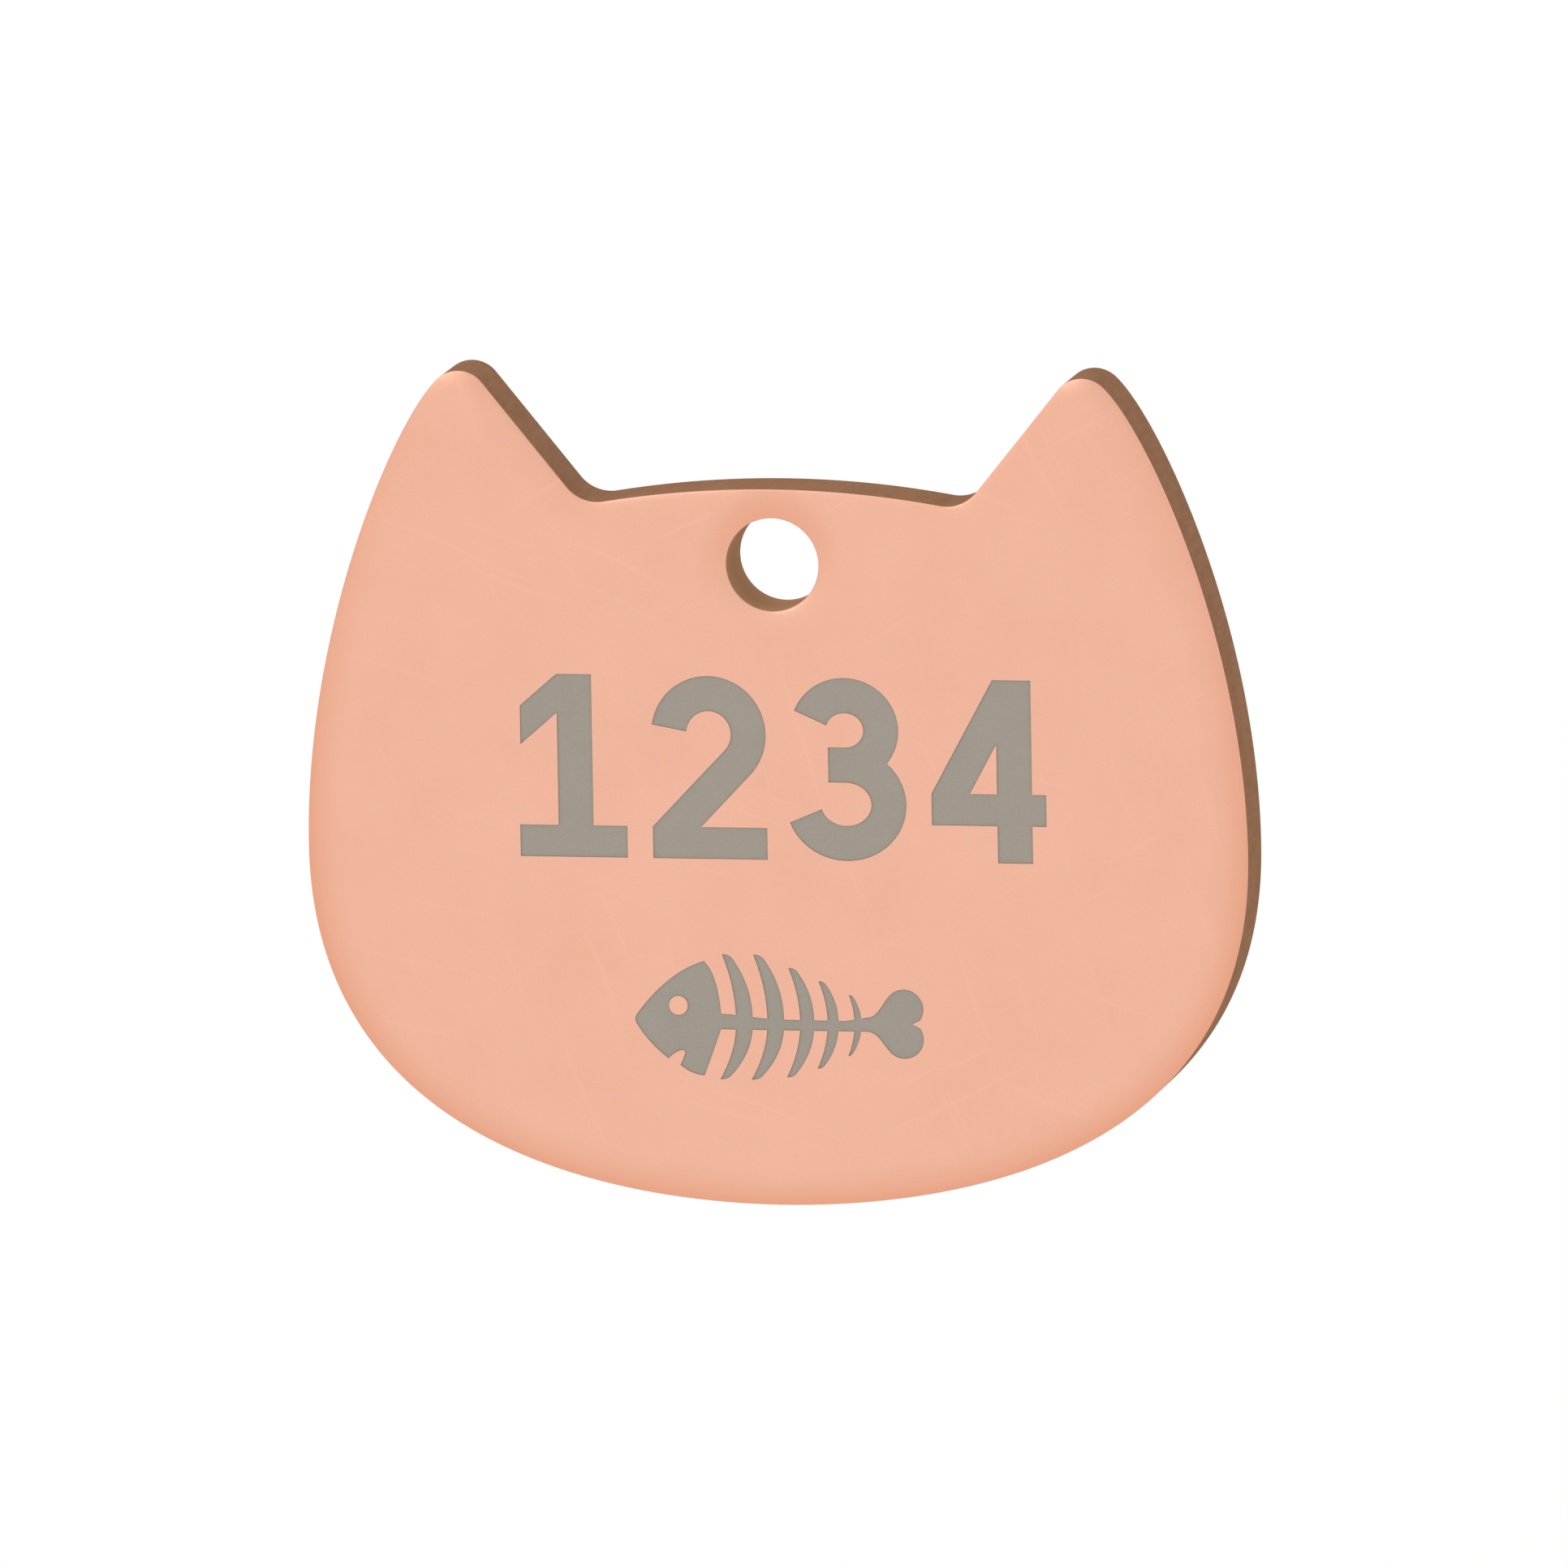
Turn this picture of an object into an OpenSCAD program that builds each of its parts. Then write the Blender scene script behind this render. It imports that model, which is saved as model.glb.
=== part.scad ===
// Cat-head id tag for a pet's collar: a blanked plate with a face layer on each side, rounded over at
// the rim, and a fishbone mark filled into a window of the front layer.
// Millimetres. The tag hangs upright: X to the right, Z up, and the front faces -Y. The origin is the
// centre of the ring hole, halfway through the thickness.

/* [Blank] */
// Width over the cheeks
tag_w = 28; // [25:0.5:34]
// Height from the chin to the ear tips
tag_h = 24.6; // [22:0.1:30]
// Thickness over both face layers
tag_t = 2.4; // [1.4:0.1:3]
// Height of the widest line above the chin
cheek_h = 10.5; // [9:0.1:12]

/* [Ears] */
// Distance between the middles of the two ear tips
ear_span = 18.55; // [16:0.05:21]
// Height of the ear tips above the valleys beside them
ear_h = 3.83; // [3.2:0.01:5]
// Radius that rounds each ear tip
ear_tip_r = 0.9; // [0.5:0.05:1.1]
// Lean of each ear's outer edge at the tip, from upright
ear_lean = 48; // [38:1:54]
// Distance between the two valleys
valley_span = 10.4; // [9:0.1:12]
// Radius that rounds each valley
valley_r = 1.15; // [0.6:0.05:1.4]
// Rise of the forehead above the valleys
forehead_rise = 0.44; // [0.3:0.01:0.8]

/* [Ring hole] */
// Diameter of the ring hole
hole_d = 2.75; // [2.3:0.05:3.5]
// Metal between the hole and the forehead
hole_edge = 0.85; // [0.7:0.05:1.5]
// Width of the shallow dish round the hole
dish_w = 0.9; // [0.5:0.05:1.3]
// Depth of the dish at the hole
dish_drop = 0.1; // [0.04:0.01:0.14]

/* [Face layers] */
// Thickness of each face layer
skin_t = 0.2; // [0.18:0.01:0.35]
// Width of the rounded rim of each face
crown_w = 1.2; // [0.6:0.05:1.6]
// How far each face falls away at the rim
crown_drop = 0.1; // [0.04:0.01:0.14]

/* [Fishbone] */
// Length from the nose to the end of the tail
fish_l = 8.6; // [7:0.1:11]
// Height of the backbone above the chin
fish_rise = 5.45; // [4.5:0.05:7]
// Length of the head
head_l = 2.57; // [2.2:0.01:2.9]
// Height of the head from jaw to crest
head_h = 3.4; // [2.8:0.05:4.2]
// Diameter of the eye
eye_d = 0.56; // [0.4:0.02:0.8]
// Width of the backbone behind the head
spine_w = 0.48; // [0.3:0.02:0.6]
// Width of the widest rib at the backbone
rib_w = 0.5; // [0.3:0.02:0.6]
// Reach of the longest rib above the backbone
rib_up = 1.99; // [1.5:0.01:2.6]
// Reach of the longest rib below the backbone
rib_down = 1.72; // [1.3:0.01:2.3]
// Diameter of each lobe of the tail
lobe_d = 1.16; // [0.8:0.02:1.4]
// How far the infill lies below the face
infill_sink = 0.03; // [0.01:0.01:0.08]

/* [Hidden] */

// Length that a cut runs past what it cuts
overrun = 1;
// Straight runs that stand for each curve of the outline, and for each curve of the mark
outline_steps = 24;
mark_steps = 8;
// Sides that stand for the ring hole, and for the eye
hole_steps = 96;
eye_steps = 32;
// Rings that carry the rounded rim from its edge to the flat face
crown_rings = 5;

// Heights over the ring hole's centre
forehead_z = hole_d / 2 + hole_edge;
valley_z = forehead_z - forehead_rise;
ear_z = valley_z + ear_h;
chin_z = ear_z - tag_h;
cheek_z = chin_z + cheek_h;
fish_z = chin_z + fish_rise;

// Length of the bones behind the head
bone_l = fish_l - head_l;

// The plate between the two face layers
core_t = tag_t - 2 * skin_t;
infill_t = skin_t - infill_sink;

// How far the outline's curves hold their direction, as shares of the half width at the chin, of the
// cheek's height below the widest line, and of the height from there to the ear tip above it
chin_share = 0.28;
jowl_share = 0.91;
temple_share = 0.46;
flank_share = 0.12;
// The rim is narrower where the metal is, as at the ear tips: its widest share of the way to the middle
rim_share = 0.7;
// Corners of the dish's profile, as shares of its width: the last one lies above the face
dish_shares = [0, 1 / 3, 2 / 3, 4 / 3];

// The head goes round from under the nose over the crest: each corner with the point that bends the line
// after it, as shares of the head's length and height
head_shares = [
    [[0.016, -0.03], [-0.012, 0.008]],
    [[0.018, 0.05], [0.38, 0.422]],
    [[0.807, 0.524], [0.961, 0.425]],
    [[1, 0.07], [1, 0]],
    [[0.995, -0.07], [0.9, -0.27]],
    [[0.796, -0.476], [0.63, -0.466]],
    [[0.516, -0.386], [0.55, -0.34]],
    [[0.572, -0.283], [0.57, -0.26]],
    [[0.555, -0.257], [0.479, -0.26]],
    [[0.378, -0.33], [0.163, -0.21]]
];
eye_share = [0.504, 0.133];
// The backbone's upper edge from inside the head: shares of the bones' length and of its own width
spine_shares = [[-0.041, 0.5], [0.059, 0.42], [0.258, 0.16], [0.615, 0.14], [0.743, 0.42]];
// Each rib: its place along the bones, and its width and reach up and down against the largest rib
rib_shares = [
    [0.073, 1, 1, 1],
    [0.228, 1, 1, 1],
    [0.39, 0.84, 0.81, 0.95],
    [0.526, 0.65, 0.62, 0.79],
    [0.659, 0.4, 0.42, 0.56]
];
// Sweep of a rib's upper and lower tip towards the head, and the width left there, against its own width
sweep_up_share = 0.78;
sweep_down_share = 1;
rib_tip_share = 0.44;
// How late a rib's sweep and its taper set in: 1 is straight, and more keeps it upright or full for longer
rib_bend = 2;
rib_taper = 2.8;
// Where the backbone starts to flare, along the bones, and how far it reaches above and below its axis
// there, against its own width
flare_share = 0.715;
flare_reach_shares = [0.36, 0.5];
// How far the lobes stand off the axis and how deep the notch between them is, against a lobe's radius
lobe_share = 0.77;
notch_share = 0.42;
// Where the flare meets a lobe, and where the lobe turns into the notch, from the way to the tail
lobe_angles = [138, -35];

// Curves

function quad(a, b, c, t) = pow(1 - t, 2) * a + 2 * t * (1 - t) * b + t * t * c;

function cubic(a, b, c, d, t) =
    pow(1 - t, 3) * a + 3 * t * pow(1 - t, 2) * b + 3 * t * t * (1 - t) * c + pow(t, 3) * d;

function ray(angle) = [cos(angle), sin(angle)];

function arc(middle, r, from, to, steps) =
    [for (i = [0:steps]) middle + r * ray(from + (to - from) * i / steps)];

// Outline of the blank

// The ear tip and the valley are two circles, and the ear's inner edge is the line that touches both
tip_c = [ear_span / 2, ear_z - ear_tip_r];
valley_c = [valley_span / 2, valley_z + valley_r];
tip_to_valley = valley_c - tip_c;
inner_angle = atan2(tip_to_valley[1], tip_to_valley[0]) + 360
    - acos((ear_tip_r + valley_r) / norm(tip_to_valley));

// The forehead is one arc that meets both valleys without a corner
forehead_r = (pow(valley_span / 2, 2) + pow(forehead_rise, 2)) / (2 * forehead_rise) - valley_r;
forehead_angle = asin(valley_span / 2 / (forehead_r + valley_r));

// Right half, from the chin's middle up to the forehead's middle
half_outline = let (
    half_w = tag_w / 2,
    rise = ear_z - cheek_z,
    ear_outer = tip_c + ear_tip_r * ray(ear_lean)
) concat(
    [for (i = [0:outline_steps - 1]) cubic(
        [0, chin_z],
        [chin_share * half_w, chin_z],
        [half_w, cheek_z - jowl_share * cheek_h],
        [half_w, cheek_z],
        i / outline_steps)],
    [for (i = [0:outline_steps - 1]) cubic(
        [half_w, cheek_z],
        [half_w, cheek_z + temple_share * rise],
        ear_outer + flank_share * rise * ray(ear_lean - 90),
        ear_outer,
        i / outline_steps)],
    arc(tip_c, ear_tip_r, ear_lean, inner_angle, mark_steps),
    arc(valley_c, valley_r, inner_angle - 180, -90 - forehead_angle, mark_steps),
    [for (i = [1:mark_steps])
        [0, forehead_z - forehead_r] + forehead_r * ray(90 - forehead_angle * (1 - i / mark_steps))]
);

// The whole outline, counterclockwise as seen from the front
outline = concat(
    half_outline,
    [for (i = [len(half_outline) - 2:-1:1]) [-half_outline[i][0], half_outline[i][1]]]
);
corners = len(outline);

function neighbour(i, step) = outline[(i + step + corners) % corners];

// Way into the metal, square to the outline
function inward(i) = let (way = neighbour(i, 1) - neighbour(i, -1)) [-way[1], way[0]] / norm(way);

// Radius of the largest circle that touches the outline at a point and stays in the metal
function room(i) = min([for (p = outline)
    let (way = p - outline[i], depth = way * inward(i))
        if (depth > 0) way * way / (2 * depth)]);

// Way from each point of the outline to the flat of the face, square to the rim
rim_ways = [for (i = [0:corners - 1]) inward(i) * min(crown_w, rim_share * room(i))];

// Face layers

// Height of a rounded edge under the flat, from 1 at the edge to 0 at the flat, and above it past that
function round_off(u) = (1 - u) * abs(1 - u);

// A slab with the blank's outline and a rounded upper rim
module crowned_slab(thick, drop) {
    levels = concat(
        [[0, 0]],
        [for (k = [0:crown_rings]) [k / crown_rings, thick - drop * round_off(k / crown_rings)]]
    );
    points = [for (level = levels) for (i = [0:corners - 1])
        let (p = outline[i] + level[0] * rim_ways[i]) [p[0], p[1], level[1]]];
    top = (len(levels) - 1) * corners;
    faces = concat(
        [[for (i = [0:corners - 1]) i]],
        [for (k = [0:len(levels) - 2]) for (i = [0:corners - 1])
            let (a = k * corners + i, b = k * corners + (i + 1) % corners) each
                [[b, a, a + corners], [b, a + corners, b + corners]]],
        [[for (i = [corners - 1:-1:0]) top + i]]
    );
    polyhedron(points, faces);
}

// Cuts the shallow dish round the ring hole
module dish_cut(face_z) {
    profile = [for (u = dish_shares) [hole_d / 2 + u * dish_w, face_z - dish_drop * round_off(u)]];
    rotate_extrude($fn = hole_steps) polygon(concat(
        [[0, face_z + overrun], [0, face_z - dish_drop]],
        profile,
        [[profile[len(profile) - 1][0], face_z + overrun]]
    ));
}

module bore_cut() {
    cylinder(d = hole_d, h = tag_t + 2 * overrun, center = true, $fn = hole_steps);
}

module face_layer() {
    difference() {
        crowned_slab(skin_t, crown_drop);
        dish_cut(skin_t);
        bore_cut();
    }
}

// Fishbone mark, drawn from the nose towards +X with the backbone on the axis

function in_head(share) = [share[0] * head_l, share[1] * head_h];

head_outline = [for (i = [0:len(head_shares) - 1]) for (k = [0:mark_steps - 1]) quad(
    in_head(head_shares[i][0]),
    in_head(head_shares[i][1]),
    in_head(head_shares[(i + 1) % len(head_shares)][0]),
    k / mark_steps)];

// Place of a share of the bones' length
function along_bones(share) = head_l + share * bone_l;

// One rib above and below the backbone: a crescent between two curves that sweep back to its tips
function rib_outline(shares) = let (
    x = along_bones(shares[0]),
    w = shares[1] * rib_w,
    up = shares[2] * rib_up,
    down = shares[3] * rib_down,
    runs = [for (k = [-mark_steps:mark_steps]) k / mark_steps],
    places = [for (t = runs) let (
        inner = x - w * (t > 0 ? sweep_up_share : sweep_down_share) * pow(abs(t), rib_bend)
    ) [t * (t > 0 ? up : down), inner, inner + w * (1 - (1 - rib_tip_share) * pow(abs(t), rib_taper))]]
) concat(
    [for (p = places) [p[1], p[0]]],
    [for (i = [len(places) - 1:-1:0]) [places[i][2], places[i][0]]]
);

// One side of the tail: the backbone's flare and a round lobe, up to the notch
function tail_side(side, start) = let (
    lobe_r = lobe_d / 2,
    lobe_c = [fish_l - lobe_r, lobe_share * lobe_r],
    touch = lobe_c + lobe_r * ray(lobe_angles[0]),
    reach = (touch[0] - start[0]) / 2
) [for (p = concat(
    [for (k = [0:mark_steps - 1]) cubic(
        start,
        start + [reach, 0],
        touch + reach * ray(lobe_angles[0] + 90),
        touch,
        k / mark_steps)],
    arc(lobe_c, lobe_r, lobe_angles[0], lobe_angles[1], 2 * mark_steps)
)) [p[0], side * p[1]]];

tail_outline = let (
    flare_x = along_bones(flare_share),
    upper = tail_side(1, [flare_x, flare_reach_shares[0] * spine_w]),
    lower = tail_side(-1, [flare_x, flare_reach_shares[1] * spine_w]),
    notch = [[fish_l - (1 - notch_share) * lobe_d / 2, 0]]
) concat(upper, notch, [for (i = [len(lower) - 1:-1:0]) lower[i]]);

spine_outline = concat(
    [for (share = spine_shares) [along_bones(share[0]), share[1] * spine_w]],
    [for (share = [spine_shares[len(spine_shares) - 1], spine_shares[0]])
        [along_bones(share[0]), -spine_w / 2]]
);

module fishbone() {
    difference() {
        polygon(head_outline);
        translate(in_head(eye_share)) circle(d = eye_d, $fn = eye_steps);
    }
    polygon(spine_outline);
    for (shares = rib_shares) polygon(rib_outline(shares));
    polygon(tail_outline);
}

module fishbone_prism(h) {
    translate([-fish_l / 2, fish_z, 0]) linear_extrude(h) fishbone();
}

// Sub-parts, built lying down with the front upwards and then stood up

module upright() {
    rotate([90, 0, 0]) children();
}

// Blanked base-metal plate, bare at its edge and in the ring hole
module core_plate() {
    color("#8f6b4e") upright() difference() {
        linear_extrude(core_t, center = true) polygon(outline);
        bore_cut();
    }
}

// Front face layer, with the fish's window cut through to the plate and its eye left standing
module front_skin() {
    color("#eeb69d") upright() translate([0, 0, core_t / 2]) difference() {
        face_layer();
        translate([0, 0, -overrun]) fishbone_prism(skin_t + 2 * overrun);
    }
}

// Back face layer, plain
module back_skin() {
    color("#eeb69d") upright() mirror([0, 0, 1]) translate([0, 0, core_t / 2]) face_layer();
}

// Infill that stands on the plate and fills the window up to just below the face
module fishbone_inlay() {
    color("#9e968b") upright() translate([0, 0, core_t / 2]) fishbone_prism(infill_t);
}

core_plate();
front_skin();
back_skin();
fishbone_inlay();
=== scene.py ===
# A cat-head id tag for a pet's collar, hanging upright in a plain studio.
# Metres, with X to the right and Z up. The front faces -Y, and the origin is the centre of the ring hole,
# halfway through the thickness.

import math

import bpy
import numpy as np
from mathutils import Matrix, Vector, kdtree
from mathutils.geometry import delaunay_2d_cdt


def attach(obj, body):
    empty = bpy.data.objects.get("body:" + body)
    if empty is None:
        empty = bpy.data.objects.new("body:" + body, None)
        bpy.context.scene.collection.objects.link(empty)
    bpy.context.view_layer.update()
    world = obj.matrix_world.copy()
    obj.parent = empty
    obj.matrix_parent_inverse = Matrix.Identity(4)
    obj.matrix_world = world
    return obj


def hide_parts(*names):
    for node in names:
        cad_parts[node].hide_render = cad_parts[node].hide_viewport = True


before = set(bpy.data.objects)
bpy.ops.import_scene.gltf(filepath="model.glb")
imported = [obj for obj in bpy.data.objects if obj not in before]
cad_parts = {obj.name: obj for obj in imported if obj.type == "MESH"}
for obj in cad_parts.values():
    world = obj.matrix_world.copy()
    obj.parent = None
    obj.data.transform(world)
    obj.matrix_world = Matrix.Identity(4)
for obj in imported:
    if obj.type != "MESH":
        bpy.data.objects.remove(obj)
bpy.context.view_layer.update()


# The studio floor
# A white board that lies well below the hanging tag, wide enough to fill the picture behind it. The room
# round it is white too, so that the metal has something even to reflect.

MM = 0.001
FLOOR_Z = -75 * MM
FLOOR_REACH = 3.0
FLOOR_WHITE, FLOOR_ROUGHNESS, FLOOR_SPECULAR = 0.95, 0.9, 0.1
ROOM_WHITE = (1.0, 0.998, 0.994, 1)
ROOM_STRENGTH = 0.87


def keep(name, data):
    """A new object at the origin that holds a mesh, a light or a camera."""
    made = bpy.data.objects.new(name, data)
    bpy.context.scene.collection.objects.link(made)
    return made


board = bpy.data.meshes.new("floor")
board.from_pydata(
    [(x * FLOOR_REACH, y * FLOOR_REACH, FLOOR_Z) for x, y in ((-1, -1), (1, -1), (1, 1), (-1, 1))],
    [], [(0, 1, 2, 3)])
white_board = bpy.data.materials.new("white board")
white_board.use_nodes = True
board_shader = white_board.node_tree.nodes["Principled BSDF"]
board_shader.inputs["Base Color"].default_value = (FLOOR_WHITE, FLOOR_WHITE, FLOOR_WHITE, 1)
board_shader.inputs["Roughness"].default_value = FLOOR_ROUGHNESS
board_shader.inputs["Specular IOR Level"].default_value = FLOOR_SPECULAR
board.materials.append(white_board)
keep("floor", board)

room = bpy.data.worlds.new("white room")
room.use_nodes = True
room.node_tree.nodes["Background"].inputs["Color"].default_value = ROOM_WHITE
room.node_tree.nodes["Background"].inputs["Strength"].default_value = ROOM_STRENGTH
bpy.context.scene.world = room
bpy.context.scene.view_settings.view_transform = "Standard"


# The lights
# Soft boxes on stands: a broad key up on the left, a weaker fill low on the right that opens the hole's
# wall, a strip above that runs along the forehead's edge, and one behind for the back of the tag.

TAG_MIDDLE = Vector((0, 0, -6.7 * MM))


def soft_box(name, place, width, height, watts):
    """An area light at a place round the tag that faces its middle."""
    light = bpy.data.lights.new(name, "AREA")
    light.shape = "RECTANGLE"
    light.size, light.size_y = width, height
    light.energy = watts
    turned = (TAG_MIDDLE - Vector(place)).to_track_quat("-Z", "Y").to_matrix().to_4x4()
    keep(name, light).matrix_world = Matrix.Translation(place) @ turned


soft_box("key", place=(-0.42, -0.62, 0.48), width=0.6, height=0.6, watts=1.3)
soft_box("fill", place=(0.7, -0.4, 0.05), width=0.5, height=0.5, watts=0.6)
soft_box("strip", place=(0.1, 0.1, 0.6), width=0.8, height=0.3, watts=0.3)
soft_box("rear fill", place=(-0.3, 0.8, 0.3), width=0.6, height=0.6, watts=1.0)


# The camera
# A long lens a little to the right of the tag and above it, turned a touch about its own axis. Pixels are
# those of the square picture, and the middle of the front face falls on the one named here.

AZIMUTH, ELEVATION, ROLL = math.radians(11.3), math.radians(9.4), math.radians(1)
LENS_MM, SENSOR_MM = 800, 36
NEAREST, FARTHEST = 0.05, 10
PICTURE_PX = 1932
PX_PER_MM = 42.15
FACE_PX = (955.3, 975)
FACE_MIDDLE = Vector((0, -1.2 * MM, -6.685 * MM))

to_camera = Vector((
    math.sin(AZIMUTH) * math.cos(ELEVATION),
    -math.cos(AZIMUTH) * math.cos(ELEVATION),
    math.sin(ELEVATION)))
level_right = Vector((math.cos(AZIMUTH), math.sin(AZIMUTH), 0))
right = level_right * math.cos(ROLL) - to_camera.cross(level_right) * math.sin(ROLL)
up = to_camera.cross(right)
pixel = MM / PX_PER_MM
aim = (
    FACE_MIDDLE
    + right * (PICTURE_PX / 2 - FACE_PX[0]) * pixel
    + up * (FACE_PX[1] - PICTURE_PX / 2) * pixel)
lens = bpy.data.cameras.new("camera")
lens.lens, lens.sensor_width = LENS_MM, SENSOR_MM
lens.clip_start, lens.clip_end = NEAREST, FARTHEST
camera = keep("camera", lens)
camera.matrix_world = (
    Matrix.Translation(aim + to_camera * PICTURE_PX * pixel * LENS_MM / SENSOR_MM)
    @ Matrix((right, up, to_camera)).transposed().to_4x4())
bpy.context.scene.camera = camera


# The drawing of the blank
# The tag is punched from sheet along this outline. It is drawn flat in millimetres, as seen from the
# front, and everything that is made from it is stood upright later.

TAG_W, TAG_H, TAG_T = 28, 24.6, 2.4
CHEEK_H = 10.5
EAR_SPAN, EAR_H, EAR_TIP_R, EAR_LEAN = 18.55, 3.83, 0.9, math.radians(48)
VALLEY_SPAN, VALLEY_R, FOREHEAD_RISE = 10.4, 1.15, 0.44
HOLE_R, HOLE_EDGE = 1.375, 0.85
CHIN_SHARE, JOWL_SHARE, TEMPLE_SHARE, FLANK_SHARE = 0.28, 0.91, 0.46, 0.12
CURVE_STEPS, ARC_STEPS, STRAIGHT_STEPS, HOLE_STEPS = 110, 18, 40, 144

FOREHEAD_Z = HOLE_R + HOLE_EDGE
VALLEY_Z = FOREHEAD_Z - FOREHEAD_RISE
EAR_Z = VALLEY_Z + EAR_H
CHIN_Z = EAR_Z - TAG_H
CHEEK_Z = CHIN_Z + CHEEK_H


def ray(angle):
    """Unit vectors at one or several angles."""
    return np.stack([np.cos(angle), np.sin(angle)], axis=-1)


def arc(middle, radii, start, end, steps):
    """Points along an arc of a circle or an ellipse, both ends included."""
    return np.array(middle) + np.array(radii) * ray(np.linspace(start, end, steps + 1))


def cubic(a, b, c, d, steps):
    """Points along a cubic curve, without its last one."""
    t = np.linspace(0, 1, steps, endpoint=False)[:, None]
    a, b, c, d = (np.array(p, float) for p in (a, b, c, d))
    return (1 - t) ** 3 * a + 3 * t * (1 - t) ** 2 * b + 3 * t ** 2 * (1 - t) * c + t ** 3 * d


half_w, rise = TAG_W / 2, EAR_Z - CHEEK_Z
tip_middle = np.array([EAR_SPAN / 2, EAR_Z - EAR_TIP_R])
valley_middle = np.array([VALLEY_SPAN / 2, VALLEY_Z + VALLEY_R])
ear_outer = tip_middle + EAR_TIP_R * ray(EAR_LEAN)

# The ear's inner edge is the straight line that touches the circles of its tip and of the valley
way = valley_middle - tip_middle
inner_angle = math.atan2(way[1], way[0]) + math.tau - math.acos((EAR_TIP_R + VALLEY_R) / np.hypot(*way))

# The forehead is one wide arc that runs smoothly into both valleys
forehead_r = (valley_middle[0] ** 2 + FOREHEAD_RISE ** 2) / (2 * FOREHEAD_RISE) - VALLEY_R
forehead_angle = math.asin(valley_middle[0] / (forehead_r + VALLEY_R))

half_outline = np.vstack([
    cubic((0, CHIN_Z), (CHIN_SHARE * half_w, CHIN_Z),
          (half_w, CHEEK_Z - JOWL_SHARE * CHEEK_H), (half_w, CHEEK_Z), CURVE_STEPS),
    cubic((half_w, CHEEK_Z), (half_w, CHEEK_Z + TEMPLE_SHARE * rise),
          ear_outer + FLANK_SHARE * rise * ray(EAR_LEAN - math.pi / 2), ear_outer, CURVE_STEPS),
    arc(tip_middle, EAR_TIP_R, EAR_LEAN, inner_angle, ARC_STEPS),
    np.linspace(tip_middle + EAR_TIP_R * ray(inner_angle), valley_middle - VALLEY_R * ray(inner_angle),
                STRAIGHT_STEPS + 1)[1:-1],
    arc(valley_middle, VALLEY_R, inner_angle - math.pi, -math.pi / 2 - forehead_angle, ARC_STEPS),
    arc((0, FOREHEAD_Z - forehead_r), forehead_r,
        math.pi / 2 - forehead_angle, math.pi / 2, 2 * ARC_STEPS)[1:],
])
outline = np.vstack([half_outline, half_outline[-2:0:-1] * (-1, 1)])
hole = arc((0, 0), HOLE_R, 0, math.tau, HOLE_STEPS)[:-1]


# Sheet
# Every piece of the tag is sheet, cut square to its face. A node tree gives a flat piece its thickness. The
# upper side falls away at the rounded rim and in the dish round the hole, by the shares that its corners
# carry, and a small lip rounds its cut edges.

SHARP_ANGLE = math.radians(35)
# A piece without a lip divides by the smallest one, and corners within the seam's reach become one
SMALLEST_LIP = 1e-9
SEAM_REACH = 1e-7


class Wire:
    """A node's output. Arithmetic on wires and numbers adds Math nodes to their tree."""

    def __init__(self, graph, socket):
        self.graph, self.socket = graph, socket

    def math(self, operation, *others):
        return self.graph.math(operation, self, *others)

    def __add__(self, other):
        return self.math("ADD", other)

    def __sub__(self, other):
        return self.math("SUBTRACT", other)

    def __rsub__(self, other):
        return self.graph.math("SUBTRACT", other, self)

    def __mul__(self, other):
        return self.math("MULTIPLY", other)

    def __truediv__(self, other):
        return self.math("DIVIDE", other)

    def __pow__(self, other):
        return self.math("POWER", other)

    __radd__, __rmul__ = __add__, __mul__

    def ramp(self, low, high):
        """From 0 at low to 1 at high, eased at both ends."""
        return self.graph.node(
            "ShaderNodeMapRange", {"interpolation_type": "SMOOTHSTEP"},
            {"Value": self, "From Min": low, "From Max": high})

    def swing(self, width):
        """Noise from 0 to 1, turned into a swing of this width to both sides of 0."""
        return (self - 0.5) * width

    def rounding(self):
        """Fall of a quarter round, as a share of its radius: none at 0 and all of it at 1."""
        return 1 - (1 - self * self).math("SQRT")


class Graph:
    """A node tree that is filled by calls."""

    def __init__(self, tree):
        self.tree = tree

    def fill(self, made, values):
        """Sets a node's sockets, found by name or number, to values or wires."""
        for key, value in values.items():
            socket = made.inputs[key] if isinstance(key, int) else next(
                s for s in made.inputs if s.enabled and s.name == key)
            for item in value if isinstance(value, list) else [value]:
                if isinstance(item, Wire):
                    self.tree.links.new(item.socket, socket)
                else:
                    socket.default_value = item

    def node(self, kind, settings, values, *outputs):
        """Adds a node: its settings first, then its sockets. Gives the named outputs, or its first one."""
        made = self.tree.nodes.new(kind)
        for name, value in settings.items():
            setattr(made, name, value)
        self.fill(made, values)
        in_use = [s for s in made.outputs if s.enabled]
        found = [Wire(self, next(s for s in in_use if s.name == name)) for name in outputs]
        return Wire(self, in_use[0]) if not found else found[0] if len(found) == 1 else found

    def math(self, operation, *values):
        return self.node("ShaderNodeMath", {"operation": operation}, dict(enumerate(values)))

    def vector(self, x, y, z):
        return self.node("ShaderNodeCombineXYZ", {}, {"X": x, "Y": y, "Z": z})


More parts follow.
